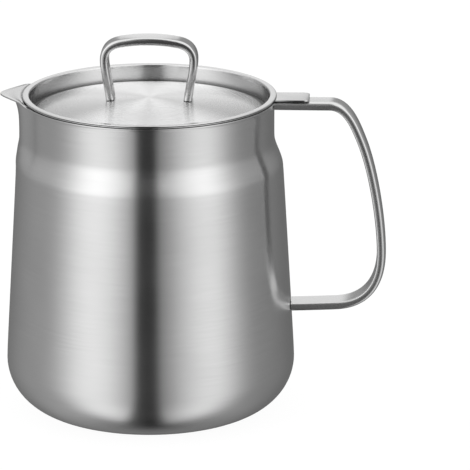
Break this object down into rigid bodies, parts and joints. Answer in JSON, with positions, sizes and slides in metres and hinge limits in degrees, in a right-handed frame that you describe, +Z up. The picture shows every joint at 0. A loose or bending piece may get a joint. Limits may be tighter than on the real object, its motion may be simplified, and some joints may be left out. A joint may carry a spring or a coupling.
{
  "type": "grease strainer jug",
  "caption": "Steel jug for saved cooking fat, with a pouring beak, a side handle, a lift-out strainer with a tab over the handle, and a dished lid with a bail.",
  "frame": {"origin": "centre of the pot's flat base, on the pot's axis", "axes": "+Z up along the pot's axis, +X towards the handle, -X towards the pouring beak"},
  "size_m": [0.1863, 0.1402, 0.1849],
  "materials": {
    "brushed_pot": "fine brushing round the axis, satin",
    "brushed_handle": "satin along the bar",
    "brushed_pan": "satin",
    "net_steel": "fine woven net",
    "ring_steel": "bright",
    "tab_steel": "satin",
    "brushed_lid": "satin, turned",
    "polished_bail": "half polished"
  },
  "bodies": {
    "pot": {"pot_shell": "brushed_pot", "pot_handle": "brushed_handle"},
    "strainer": {"strainer_pan": "brushed_pan", "strainer_mesh": "net_steel", "strainer_mesh_ring": "ring_steel", "strainer_tab": "tab_steel"},
    "lid": {"lid_dish": "brushed_lid", "lid_bail": "polished_bail"}
  },
  "joints": [
    {"name": "strainer_lift", "type": "slide", "parent": "pot", "child": "strainer", "axis": [0, 0, 1], "range_m": [0, 0.12]},
    {"name": "lid_lift", "type": "slide", "parent": "strainer", "child": "lid", "axis": [0, 0, 1], "range_m": [0, 0.1]}
  ]
}
